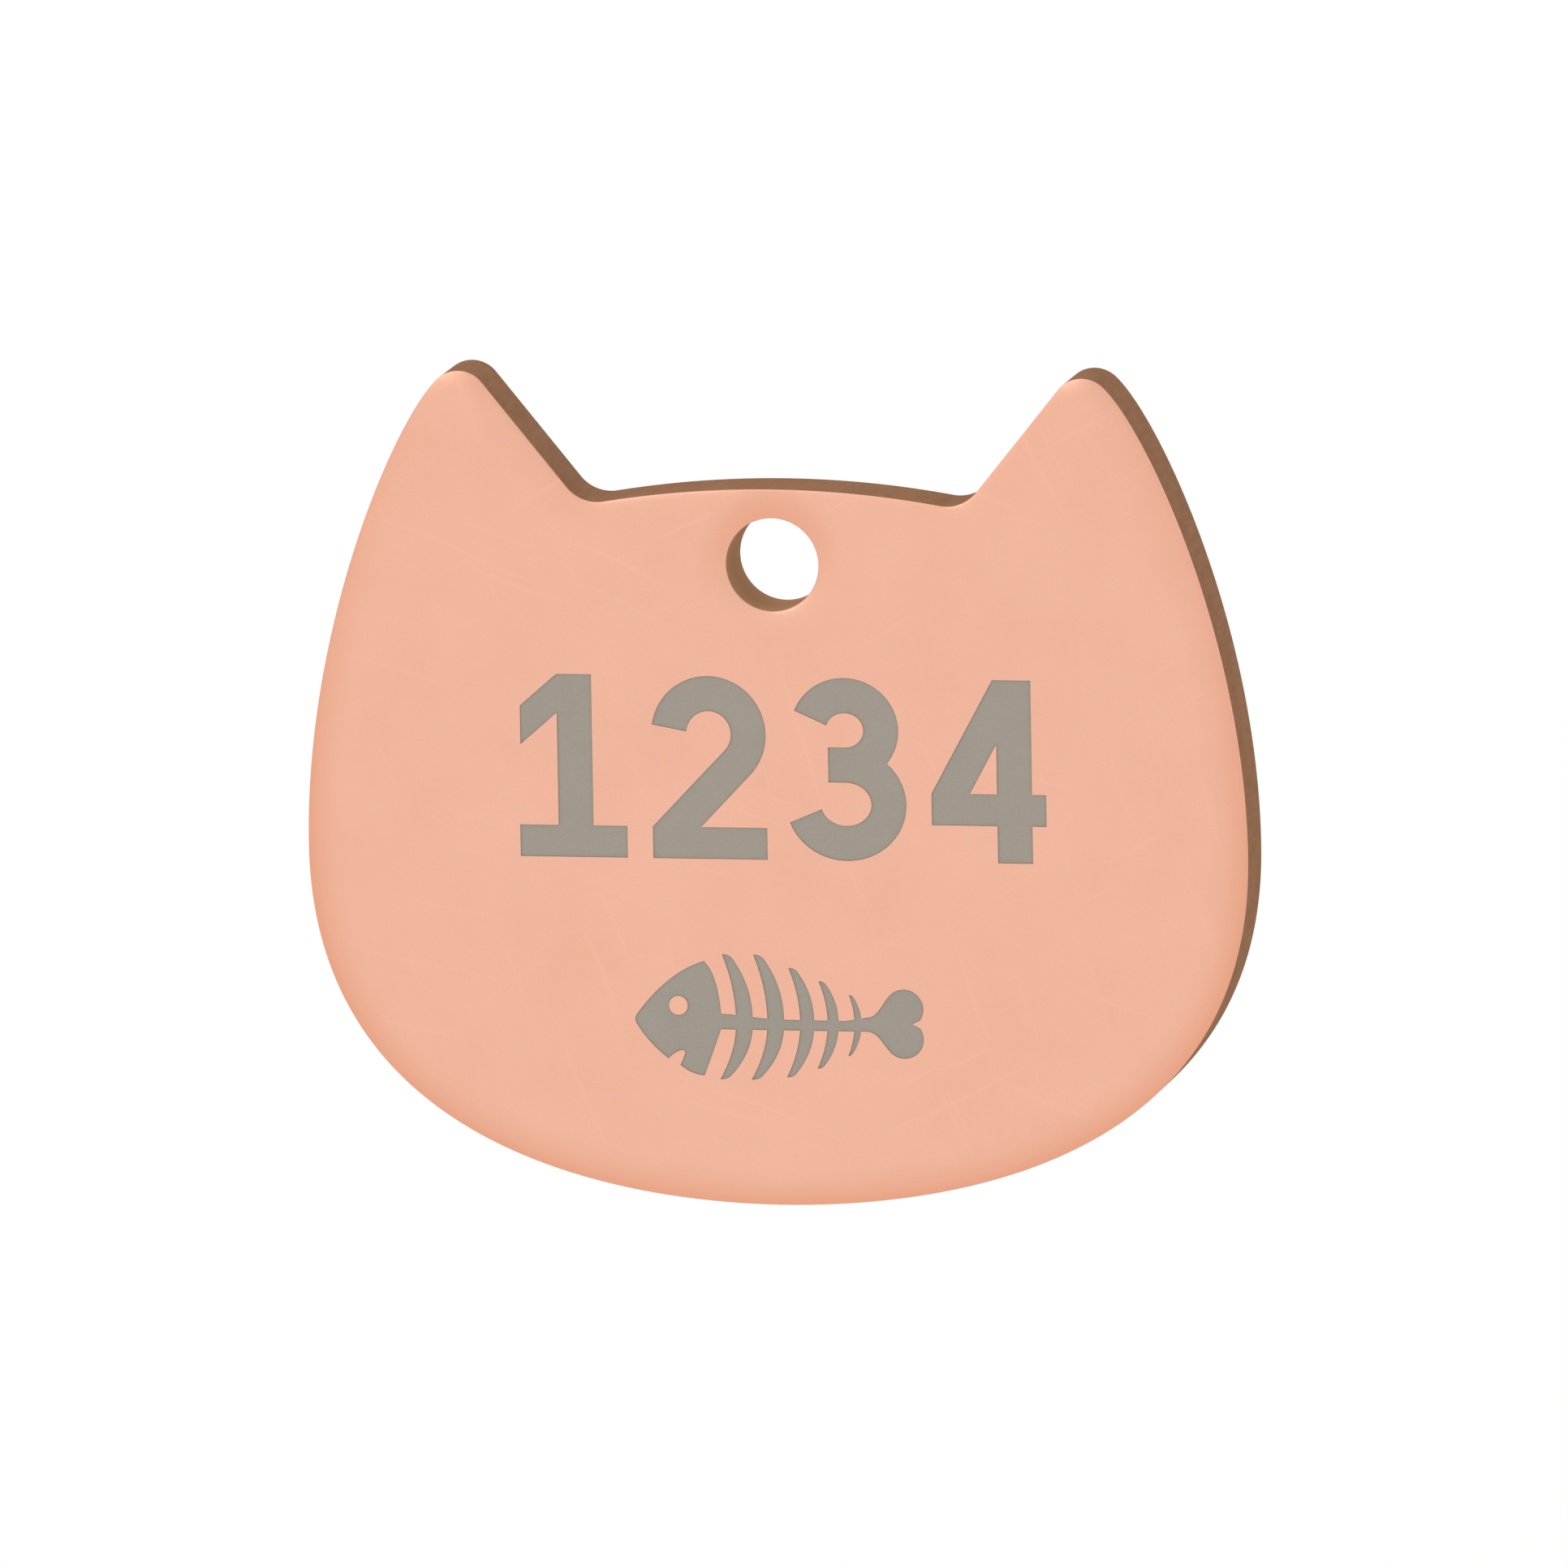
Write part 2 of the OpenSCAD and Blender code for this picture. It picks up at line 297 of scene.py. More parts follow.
class Tree(Graph):
    """A Geometry Nodes tree with a geometry input and these named ones, each a wire in self.inputs."""

    def __init__(self, name, sockets):
        super().__init__(bpy.data.node_groups.new(name, "GeometryNodeTree"))
        face = self.tree.interface
        face.new_socket("Geometry", in_out="INPUT", socket_type="NodeSocketGeometry")
        for socket, kind in sockets.items():
            face.new_socket(socket, in_out="INPUT", socket_type="NodeSocket" + kind)
        face.new_socket("Geometry", in_out="OUTPUT", socket_type="NodeSocketGeometry")
        entry = self.tree.nodes.new("NodeGroupInput")
        self.inputs = {s.name: Wire(self, s) for s in entry.outputs if s.name}

    def carried(self, name):
        """The number that each corner carries under a name."""
        return self.node(
            "GeometryNodeInputNamedAttribute", {"data_type": "FLOAT"}, {"Name": name}, "Attribute")

    def close(self, shape):
        """Ends the tree in real geometry with its material."""
        real = self.node("GeometryNodeRealizeInstances", {}, {"Geometry": shape})
        coated = self.node(
            "GeometryNodeSetMaterial", {}, {"Geometry": real, "Material": self.inputs["Material"]})
        self.fill(self.tree.nodes.new("NodeGroupOutput"), {"Geometry": coated})

    def grow(self, carrier, **values):
        """Runs the tree on an object and keeps the result as its plain mesh."""
        modifier = carrier.modifiers.new(self.tree.name, "NODES")
        modifier.node_group = self.tree
        for socket in self.tree.interface.items_tree:
            key = socket.name.replace(" ", "_").lower()
            if socket.in_out == "INPUT" and key in values:
                modifier[socket.identifier] = values[key]
        depsgraph = bpy.context.evaluated_depsgraph_get()
        result = bpy.data.meshes.new_from_object(
            carrier.evaluated_get(depsgraph), preserve_all_data_layers=True, depsgraph=depsgraph)
        carrier.modifiers.remove(modifier)
        carrier.data = result


sheet = Tree("sheet with a rounded rim", {
    "Thickness": "Float", "Rim Drop": "Float", "Dish Drop": "Float", "Lip": "Float", "Material": "Material"})
lip_left = (1 - sheet.carried("edge") / (sheet.inputs["Lip"] + SMALLEST_LIP)).math("MAXIMUM", 0)
drop = (
    sheet.inputs["Rim Drop"] * (1 - sheet.carried("rim")) ** 2
    + sheet.inputs["Dish Drop"] * (1 - sheet.carried("dish")) ** 2
    + sheet.inputs["Lip"] * lip_left.rounding())
raised, top, side = sheet.node(
    "GeometryNodeExtrudeMesh", {"mode": "FACES"},
    {"Mesh": sheet.inputs["Geometry"], "Offset": sheet.vector(0, 0, sheet.inputs["Thickness"]),
     "Offset Scale": 1, "Individual": False},
    "Mesh", "Top", "Side")
marked = sheet.node(
    "GeometryNodeStoreNamedAttribute", {"data_type": "FLOAT", "domain": "FACE"},
    {"Geometry": raised, "Name": "cut_edge", "Value": side})
sunk = sheet.node(
    "GeometryNodeSetPosition", {},
    {"Geometry": marked, "Selection": top, "Offset": sheet.vector(0, 0, 0 - drop)})
underside = sheet.node("GeometryNodeFlipFaces", {}, {"Mesh": sheet.inputs["Geometry"]})
joined = sheet.node("GeometryNodeJoinGeometry", {}, {"Geometry": [sunk, underside]})
closed = sheet.node("GeometryNodeMergeByDistance", {}, {"Geometry": joined, "Distance": SEAM_REACH})
smooth = sheet.node(
    "GeometryNodeSetShadeSmooth", {"domain": "FACE"}, {"Geometry": closed, "Shade Smooth": True})
steep = sheet.node(
    "FunctionNodeCompare", {"data_type": "FLOAT", "operation": "GREATER_THAN"},
    {"A": sheet.node("GeometryNodeInputMeshEdgeAngle", {}, {}, "Unsigned Angle"), "B": SHARP_ANGLE})
sheet.close(sheet.node(
    "GeometryNodeSetShadeSmooth", {"domain": "EDGE"},
    {"Geometry": smooth, "Selection": steep, "Shade Smooth": False}))


# Core plate
# Punched from brown base-metal sheet. Its cut edge stays bare all round and in the ring hole: the punch
# burnishes the first third and tears the rest, and draws fine streaks from face to face.

SKIN_T = 0.2
CORE_T = TAG_T - 2 * SKIN_T
DARK_BROWN, PALE_BROWN = (0.2635, 0.1397, 0.0819), (0.3297, 0.1806, 0.1089)
# The paler brown is painted light for the wall of the ring hole, which lies in shade. The reach round the
# hole also sets the ring's real polish.
BORE_LIGHT_BROWN = (0.497, 0.302, 0.183)
GRAZING_TINT = (0.42, 0.3, 0.2, 1)
BARE_METALLIC = 0.3
STREAKS_PER_MM, STREAK_STRETCH, STREAK_CONTRAST, STREAK_DEPTH = 7, 0.12, 1.6, 0.003
PATCHES_PER_MM, PATCH_CONTRAST = 1.1, 0.8
TEARS_PER_MM, TEAR_WANDER, TEAR_START = 2.2, 0.5, (-0.4, -0.15)
BURNISHED_RELIEF, TORN_RELIEF = 0.4, 0.6
RUBBED_AND_LIT_REACH, BORE_LIGHT_SHARE = (HOLE_R + 0.1, HOLE_R + 0.2), 0.8
CUT_ROUGHNESS, TORN_ROUGHNESS, STREAK_ROUGHNESS, RUBBED_POLISH = 0.48, 0.12, 0.15, 0.1
SAME_PLACE = 1e-6
FRONT = Matrix(((1, 0, 0, 0), (0, 0, -1, 0), (0, 1, 0, 0), (0, 0, 0, 1)))


class Finish(Graph):
    """A material made of nodes, with places and heights in millimetres."""

    def __init__(self, name):
        self.material = bpy.data.materials.new(name)
        self.material.use_nodes = True
        super().__init__(self.material.node_tree)
        place = self.node("ShaderNodeTexCoord", {}, {}, "Object")
        self.place = self.node(
            "ShaderNodeVectorMath", {"operation": "SCALE"}, {"Vector": place, "Scale": 1 / MM})
        self.x, self.y, self.z = self.node("ShaderNodeSeparateXYZ", {}, {"Vector": self.place}, "X", "Y", "Z")

    def from_axis(self):
        """The way from the axis of the ring hole."""
        return (self.x * self.x + self.z * self.z).math("SQRT")

    def carried(self, name):
        """A number that the piece's mesh carries."""
        return self.node("ShaderNodeAttribute", {"attribute_name": name}, {}, "Fac")

    def noise(self, per_mm, detail=2, roughness=0.5, where=None):
        """Soft noise from 0 to 1 with this many features in a millimetre."""
        return self.node("ShaderNodeTexNoise", {}, {
            "Vector": where or self.place, "Scale": per_mm, "Detail": detail, "Roughness": roughness}, "Fac")

    def blend(self, share, first, second):
        """A colour between two others."""
        first, second = (c if isinstance(c, Wire) else (*c, 1) for c in (first, second))
        return self.node(
            "ShaderNodeMix", {"data_type": "RGBA"}, {"Factor": share, "A": first, "B": second})

    def relief(self, height):
        """Bumps of a varying height."""
        return self.node("ShaderNodeBump", {}, {"Height": height, "Distance": MM, "Strength": 1}, "Normal")

    def shade(self, **sockets):
        """Sets the shader's sockets, named with underscores."""
        shader = self.tree.nodes["Principled BSDF"]
        self.fill(shader, {name.replace("_", " "): value for name, value in sockets.items()})


def in_order(polygon):
    """The polygon run counterclockwise."""
    x, y = np.array(polygon).T
    area = np.sum(x * np.roll(y, -1) - y * np.roll(x, -1))
    return list(polygon) if area > 0 else list(polygon)[::-1]


def plan(areas, lines=()):
    """Divides the drawing into triangles that cross no area's edge and no closed line. Gives the corners,
    the triangles, and for each triangle the names of the areas that it lies in."""
    corners, faces, names, edges = [], [], [], []
    for name, polygons in areas.items():
        for polygon in polygons:
            faces.append(list(range(len(corners), len(corners) + len(polygon))))
            names.append(name)
            corners.extend(Vector(p) for p in in_order(polygon))
    for line in lines:
        start, count = len(corners), len(line)
        edges.extend((start + i, start + (i + 1) % count) for i in range(count))
        corners.extend(Vector(p) for p in line)
    found = delaunay_2d_cdt(corners, edges, faces, 0, SAME_PLACE, True)
    return np.array([tuple(p) for p in found[0]]), found[2], [{names[i] for i in held} for held in found[5]]


def punched(lines=()):
    """Corners and triangles of the blank with nothing but its ring hole."""
    corners, triangles, lying_in = plan({"blank": [outline], "hole": [hole]}, lines)
    return corners, [t for t, areas in zip(triangles, lying_in) if areas == {"blank"}]


def flat_piece(name, corners, triangles, measures):
    """A flat mesh of some of a plan's triangles, in metres, with the numbers that its corners carry."""
    used = sorted({i for t in triangles for i in t})
    place = {i: n for n, i in enumerate(used)}
    mesh = bpy.data.meshes.new(name)
    mesh.from_pydata(
        [(corners[i][0] * MM, corners[i][1] * MM, 0) for i in used], [],
        [[place[i] for i in t] for t in triangles])
    for measure, values in measures.items():
        mesh.attributes.new(measure, "FLOAT", "POINT").data.foreach_set("value", np.float32(values[used]))
    return keep(name, mesh)


def mount(piece, side, height, node):
    """Stands a flat piece upright with its underside this far from the tag's middle plane, and gives it
    to the frame."""
    piece.data.transform(side @ Matrix.Translation((0, 0, height * MM)))
    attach(piece, "root")
    if node:
        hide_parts(node)


def cut_metal(finish):
    """Tone, roughness and height of the bare cut edge. The ring rubs the wall of its hole smoother, and a
    paler brown there is painted light that brightens the hole's shaded wall.
    """
    drawn = finish.vector(finish.x, finish.y * STREAK_STRETCH, finish.z)
    streaks = finish.noise(STREAKS_PER_MM, detail=4, roughness=0.6, where=drawn)
    mottle = streaks.swing(STREAK_CONTRAST) + finish.noise(PATCHES_PER_MM).swing(PATCH_CONTRAST)
    torn = (finish.y + finish.noise(TEARS_PER_MM).swing(TEAR_WANDER)).ramp(*TEAR_START)
    # Round the ring hole: real polish from the ring, and painted light that pales the shaded wall
    rubbed_and_lit = 1 - finish.from_axis().ramp(*RUBBED_AND_LIT_REACH)
    brown = finish.blend(mottle + 0.5, DARK_BROWN, PALE_BROWN)
    roughness = (
        CUT_ROUGHNESS + torn * TORN_ROUGHNESS + streaks.swing(STREAK_ROUGHNESS) - rubbed_and_lit * RUBBED_POLISH)
    return (
        finish.blend(rubbed_and_lit * BORE_LIGHT_SHARE, brown, BORE_LIGHT_BROWN), roughness,
        streaks * (BURNISHED_RELIEF + torn * TORN_RELIEF) * STREAK_DEPTH)


bare_edge = Finish("bare cut edge")
tone, roughness, height = cut_metal(bare_edge)
bare_edge.shade(
    Base_Color=tone, Roughness=roughness, Metallic=BARE_METALLIC, Specular_IOR_Level=0,
    Specular_Tint=GRAZING_TINT, Normal=bare_edge.relief(height))

core_corners, core_triangles = punched()
unrounded = {name: np.ones(len(core_corners)) for name in ("rim", "dish", "edge")}
core = flat_piece("blanked_core_plate", core_corners, core_triangles, unrounded)
sheet.grow(core, thickness=CORE_T * MM, material=bare_edge.material)
mount(core, FRONT, -CORE_T / 2, "core_plate")


# Fishbone drawing
# The common fish skeleton: a head with a round eye, a backbone that swells into two tail lobes, and five
# ribs that sweep back above and below it. It is drawn from the nose, with the backbone on the axis.

FISH_L, FISH_RISE = 8.6, 5.45
HEAD_L, HEAD_H, EYE_R = 2.57, 3.4, 0.28
SPINE_W, LOBE_R = 0.48, 0.58
RIB_W, RIB_UP, RIB_DOWN = 0.5, 1.99, 1.72
MARK_STEPS = 14
EYE_STEPS = 48

# Round the head, as shares of its length and height: a place, and where the curve to the next one bends to
HEAD_SHARES = [
    ((0.016, -0.03), (-0.012, 0.008)),
    ((0.018, 0.05), (0.38, 0.422)),
    ((0.807, 0.524), (0.961, 0.425)),
    ((1, 0.07), (1, 0)),
    ((0.995, -0.07), (0.9, -0.27)),
    ((0.796, -0.476), (0.63, -0.466)),
    ((0.516, -0.386), (0.55, -0.34)),
    ((0.572, -0.283), (0.57, -0.26)),
    ((0.555, -0.257), (0.479, -0.26)),
    ((0.378, -0.33), (0.163, -0.21)),
]
EYE_SHARE = (0.504, 0.133)

# Along the backbone: places behind the head as shares of the bones' length, and shares of its width
SPINE_SHARES = [(-0.041, 0.5), (0.059, 0.42), (0.258, 0.16), (0.615, 0.14), (0.743, 0.42)]
FLARE_SHARE, FLARE_REACH_SHARES = 0.715, (0.36, 0.5)
LOBE_SHARE, NOTCH_SHARE, LOBE_ANGLES = 0.77, 0.42, (math.radians(138), math.radians(-35))

# Each rib: its place behind the head, and its width, reach up and reach down as shares of the widest
RIB_SHARES = [
    (0.073, 1, 1, 1),
    (0.228, 1, 1, 1),
    (0.39, 0.84, 0.81, 0.95),
    (0.526, 0.65, 0.62, 0.79),
    (0.659, 0.4, 0.42, 0.56),
]
SWEEP_UP_SHARE, SWEEP_DOWN_SHARE, RIB_TIP_SHARE, RIB_BEND, RIB_TAPER = 0.78, 1, 0.44, 2, 2.8
CORNER_REACH_SHARE, CORNER_WIDTH_SHARE = 0.065, 0.6
RIB_STEPS = 2 * MARK_STEPS

fish_start = np.array([-FISH_L / 2, CHIN_Z + FISH_RISE])


def along_bones(share):
    """Place of a share of the bones' length, behind the head."""
    return HEAD_L + share * (FISH_L - HEAD_L)


def quad(a, b, c, steps):
    """Points along a curve that bends towards its middle point, without its last one."""
    t = np.linspace(0, 1, steps, endpoint=False)[:, None]
    a, b, c = (np.array(p, float) for p in (a, b, c))
    return (1 - t) ** 2 * a + 2 * t * (1 - t) * b + t ** 2 * c


def tail_side(side):
    """The backbone's flare and a round lobe, up to the notch."""
    start = np.array([along_bones(FLARE_SHARE), FLARE_REACH_SHARES[side < 0] * SPINE_W])
    lobe_middle = np.array([FISH_L - LOBE_R, LOBE_SHARE * LOBE_R])
    touch = lobe_middle + LOBE_R * ray(LOBE_ANGLES[0])
    reach = (touch[0] - start[0]) / 2
    swell = cubic(
        start, start + (reach, 0), touch + reach * ray(LOBE_ANGLES[0] + math.pi / 2), touch, MARK_STEPS)
    return np.vstack([swell, arc(lobe_middle, LOBE_R, *LOBE_ANGLES, 3 * MARK_STEPS)]) * (1, side)


head_size = np.array([HEAD_L, HEAD_H])
head = np.vstack([
    quad(here * head_size, bend * head_size, following * head_size, MARK_STEPS)
    for (here, bend), (following, _) in zip(HEAD_SHARES, HEAD_SHARES[1:] + HEAD_SHARES[:1])])
eye = arc(EYE_SHARE * head_size, EYE_R, 0, math.tau, EYE_STEPS)[:-1]
spine = [(along_bones(x), y * SPINE_W) for x, y in SPINE_SHARES]
spine += [(along_bones(SPINE_SHARES[i][0]), -SPINE_W / 2) for i in (-1, 0)]
tail = np.vstack([tail_side(1), [(FISH_L - (1 - NOTCH_SHARE) * LOBE_R, 0)], tail_side(-1)[::-1]])

# The ribs: one half rib above and one below, set along the backbone and scaled to each place's shares
ribs = Tree("ribs along a backbone", {
    "Rib Width": "Float", "Reach Up": "Float", "Reach Down": "Float", "Sweep Up": "Float",
    "Sweep Down": "Float", "Tip Width": "Float", "Bend": "Float", "Taper": "Float",
    "Corner Reach": "Float", "Corner Width": "Float", "Steps": "Int", "Material": "Material"})


def half_ribs(reach, sweep, share, side):
    """Half ribs on one side of the backbone, between two curves that sweep back to their tips. The outer
    corner of each tip is rounded, so the points lie closer together towards it."""
    strip = ribs.node("GeometryNodeMeshGrid", {}, {
        "Size X": 1, "Size Y": 1, "Vertices X": 2, "Vertices Y": ribs.inputs["Steps"] + 1}, "Mesh")
    x, y = ribs.node(
        "ShaderNodeSeparateXYZ", {}, {"Vector": ribs.node("GeometryNodeInputPosition", {}, {})}, "X", "Y")
    across, out = x + 0.5, ((y + 0.5) * (math.pi / 2)).math("SINE")
    past = ((out - 1) / ribs.inputs["Corner Reach"] + 1).math("MAXIMUM", 0)
    corner = ribs.inputs["Tip Width"] * ribs.inputs["Corner Width"] * past.rounding()
    width = 1 - (1 - ribs.inputs["Tip Width"]) * out ** ribs.inputs["Taper"] - corner
    shaped = ribs.node("GeometryNodeSetPosition", {}, {
        "Geometry": strip,
        "Position": ribs.vector(across * width - sweep * out ** ribs.inputs["Bend"], out * side, 0)})
    size = ribs.vector(ribs.inputs["Rib Width"] * ribs.carried("width"), reach * ribs.carried(share), 1)
    return ribs.node("GeometryNodeInstanceOnPoints", {}, {
        "Points": ribs.inputs["Geometry"], "Instance": shaped, "Scale": size})


ribs.close(ribs.node("GeometryNodeJoinGeometry", {}, {"Geometry": [
    half_ribs(ribs.inputs["Reach Up"], ribs.inputs["Sweep Up"], "up", 1),
    half_ribs(ribs.inputs["Reach Down"], ribs.inputs["Sweep Down"], "down", -1)]}))
seats = bpy.data.meshes.new("rib seats")
seats.from_pydata([(along_bones(shares[0]), 0, 0) for shares in RIB_SHARES], [], [])
for column, name in enumerate(("width", "up", "down"), 1):
    seats.attributes.new(name, "FLOAT", "POINT").data.foreach_set("value", [s[column] for s in RIB_SHARES])
drawn_ribs = keep("rib drawing", seats)
ribs.grow(
    drawn_ribs, rib_width=RIB_W, reach_up=RIB_UP, reach_down=RIB_DOWN,
    sweep_up=SWEEP_UP_SHARE, sweep_down=SWEEP_DOWN_SHARE, tip_width=RIB_TIP_SHARE, bend=RIB_BEND,
    taper=RIB_TAPER, corner_reach=CORNER_REACH_SHARE, corner_width=CORNER_WIDTH_SHARE, steps=RIB_STEPS,
    material=bare_edge.material)
rib_strips = [
    [tuple(drawn_ribs.data.vertices[i].co[:2]) for i in face.vertices] for face in drawn_ribs.data.polygons]
bpy.data.objects.remove(drawn_ribs)

fish = [np.array(part) + fish_start for part in (head, spine, tail, *rib_strips)]
eye = eye + fish_start


# Number drawing
# Four plain numerals of bold, even strokes in one line across the face. Each is drawn from its lower left
# corner as strips and bars that overlap.

NUMERAL_H, NUMERAL_W, NUMERAL_GAP = 5.42, 3.41, 0.75
NUMERALS_LEFT, NUMERALS_Z = -7.83, -8.72
STROKE, BAR = 1.04, 0.94
BEND_STEPS = 40
ONE_STEM_LEFT, ONE_FOOT_LEFT, ONE_FOOT_W = 1.35, 0.2, 3.2
ONE_FLAG = ((0, 0), (-1.1, -0.95), (-1.1, -2.1), (0.1, -1.06))
HOOK_H, HOOK_ANGLES, TWO_SLANT_W = 2.4, np.radians((172, -44)), 1.44
WAIST_Z, WAIST_LEFT, WAIST_W = 2.84, 1.1, 0.52
UPPER_BOWL_X, UPPER_BOWL_REACH, UPPER_BOWL_ANGLES = 1.6, 1.08, np.radians((160, -90))
LOWER_BOWL_X, LOWER_BOWL_REACH, LOWER_BOWL_ANGLES = 1.62, 1.27, np.radians((90, -162))
FOUR_STEM_LEFT, FOUR_BAR_Z, FOUR_SLANT_W = 1.95, 1.1, 1.14


def stroke(line, width):
    """Strips that follow a line at this width."""
    line = np.array(line, float)
    along = np.gradient(line, axis=0)
    across = np.stack([-along[:, 1], along[:, 0]], axis=-1)
    across *= width / 2 / np.hypot(*across.T)[:, None]
    left, right = line + across, line - across
    return [[left[i], right[i], right[i + 1], left[i + 1]] for i in range(len(line) - 1)]


def bowl(x, reach, low, high, angles):
    """A bent stroke round this x, whose middle line runs between two levels."""
    return stroke(arc((x, (high + low) / 2), (reach, (high - low) / 2), *angles, BEND_STEPS), STROKE)


def bar(x, y, width, height):
    """An upright or level bar from its lower left corner."""
    return [[(x, y), (x + width, y), (x + width, y + height), (x, y + height)]]


upper_line = NUMERAL_H - STROKE / 2
one = (
    bar(ONE_STEM_LEFT, 0, STROKE, NUMERAL_H) + bar(ONE_FOOT_LEFT, 0, ONE_FOOT_W, BAR)
    + [[(ONE_STEM_LEFT + x, NUMERAL_H + y) for x, y in ONE_FLAG]])
hook = bowl(NUMERAL_W / 2, (NUMERAL_W - STROKE) / 2, upper_line - HOOK_H, upper_line, HOOK_ANGLES)
two = hook + [[hook[-1][2], (0, BAR), (TWO_SLANT_W, BAR), hook[-1][3]]] + bar(0, 0, NUMERAL_W, BAR)
three = (
    bowl(UPPER_BOWL_X, UPPER_BOWL_REACH, WAIST_Z, upper_line, UPPER_BOWL_ANGLES)
    + bowl(LOWER_BOWL_X, LOWER_BOWL_REACH, STROKE / 2, WAIST_Z, LOWER_BOWL_ANGLES)
    + bar(WAIST_LEFT, WAIST_Z - STROKE / 2, WAIST_W, STROKE))
four_right, four_bar_top = FOUR_STEM_LEFT + STROKE, FOUR_BAR_Z + BAR
four = bar(FOUR_STEM_LEFT, 0, STROKE, NUMERAL_H) + bar(0, FOUR_BAR_Z, NUMERAL_W, BAR) + [[
    (0, four_bar_top), (FOUR_SLANT_W, four_bar_top),
    (four_right, NUMERAL_H), (four_right - FOUR_SLANT_W, NUMERAL_H)]]
numerals = {
    f"numeral_{i + 1}": [
        np.array(part) + (NUMERALS_LEFT + i * (NUMERAL_W + NUMERAL_GAP), NUMERALS_Z) for part in parts]
    for i, parts in enumerate((one, two, three, four))}


# Rose-gold face layers
# The layer on each face is plated rose gold with a fine satin grain. Tumbling has rounded its rim, and
# handling has left a few faint hairlines.
# Its tone carries painted shade: a deeper copper low on the rim, a little on the upper rim, and above the
# hole.

CROWN_W, CROWN_DROP, RIM_SHARE = 1.2, 0.1, 0.7
DISH_W, DISH_DROP = 0.9, 0.1
LIP = 0.025
RIM_RINGS, LIP_RINGS = 9, 4
# Painted shade: the deeper copper tone that the rim and the ground above the hole turn to, as if they faced
# away from the light.
PAINTED_SHADE_COPPER = (0.79, 0.362, 0.232)
PALE_ROSE, WARM_ROSE = (0.868, 0.482, 0.352), (0.838, 0.454, 0.326)
# Where the painted shade falls: strongest low on the rim and fading up it, a little on the upper rim, and
# round the top of the hole.
PAINTED_SHADE_LOW, PAINTED_SHADE_HIGH, PAINTED_SHADE_TILT, PAINTED_SHADE_FADE = -13, 5, 0.1, 1.7
UPPER_RIM_SHADE_REACH, UPPER_RIM_SHADE_SHARE = (4, 12), 0.28
HOLE_SHADE_REACH, HOLE_SHADE_RISE, HOLE_SHADE_SHARE = (HOLE_R - 0.05, HOLE_R + 1.1), (-1.5, 1.9), 0.75
CLOUDS_PER_MM, CLOUD_CONTRAST, GRAIN_CONTRAST, SCRATCH_CONTRAST = 0.4, 1.6, 1.4, 0.6
GRAIN_PER_MM, GRAIN_DEPTH, SCRATCH_DEPTH = 11, 0.0013, 0.0012
SCRATCHES = ((0.5, 5.5, 7), (-0.35, 4.5, 9), (1.9, 5, 6))
SCRATCH_BOWS_PER_MM, SCRATCH_BOW, SCRATCH_EDGE, SCRATCH_APART = 0.15, 1.5, (0.69, 0.74), 3.7
SATIN_ROUGHNESS, GRAIN_ROUGHNESS, SCRATCH_ROUGHNESS = 0.4, 0.1, 0.1
HAZE_PER_MM, HAZE_ROUGHNESS = 0.3, 0.12
WORN_REACH, WORN_POLISH = (0.02, 0.14), 0.08
PLATED_METALLIC = 0.7
BACK = Matrix(((-1, 0, 0, 0), (0, 0, 1, 0), (0, 1, 0, 0), (0, 0, 0, 1)))

# The rim narrows where only a small circle fits inside the outline. Every point that lies deeper than the
# tangent sets the radius of one such circle, and the smallest of them fits.
ahead = np.roll(outline, -1, axis=0) - np.roll(outline, 1, axis=0)
inward = np.stack([-ahead[:, 1], ahead[:, 0]], axis=-1) / np.hypot(*ahead.T)[:, None]
ways = outline[None] - outline[:, None]
depths = np.einsum("ijk,ik->ij", ways, inward)
with np.errstate(divide="ignore", invalid="ignore"):
    radii = np.where(depths > SAME_PLACE, np.sum(ways ** 2, axis=2) / (2 * depths), np.inf)
rim_widths = np.minimum(CROWN_W, RIM_SHARE * np.nanmin(radii, axis=1))
rim_widths = np.median([np.roll(rim_widths, i) for i in (-1, 0, 1)], axis=0)

lip_steps = LIP * (1 - np.cos(np.linspace(0, math.pi / 2, LIP_RINGS + 1)[1:]))
ring_shares = np.linspace(0, 1, RIM_RINGS + 1)[1:]
rings = [outline + inward * step for step in lip_steps]
rings += [outline + inward * rim_widths[:, None] * share for share in ring_shares]
rings += [hole * (1 + step / HOLE_R) for step in [*lip_steps, *(DISH_W * ring_shares)]]

near = kdtree.KDTree(len(outline))
for i, p in enumerate(outline):
    near.insert((*p, 0), i)
near.balance()


def face_measures(corners):
    """What each corner of a face layer carries: its shares of the rim's and the dish's width, and its way
    from the nearest cut edge in metres."""
    nearest = np.array([near.find((*p, 0))[1] for p in corners])
    reach = np.full(len(corners), np.inf)
    for start in (nearest - 1, nearest):
        along = outline[(start + 1) % len(outline)] - outline[start]
        share = np.clip(np.sum((corners - outline[start]) * along, axis=1) / np.sum(along ** 2, axis=1), 0, 1)
        reach = np.minimum(reach, np.hypot(*(corners - outline[start] - share[:, None] * along).T))
    past_hole = np.maximum(np.hypot(*corners.T) - HOLE_R, 0)
    return {
        "rim": np.minimum(reach / rim_widths[nearest], 1),
        "dish": np.minimum(past_hole / DISH_W, 1),
        "edge": np.minimum(reach, past_hole) * MM}


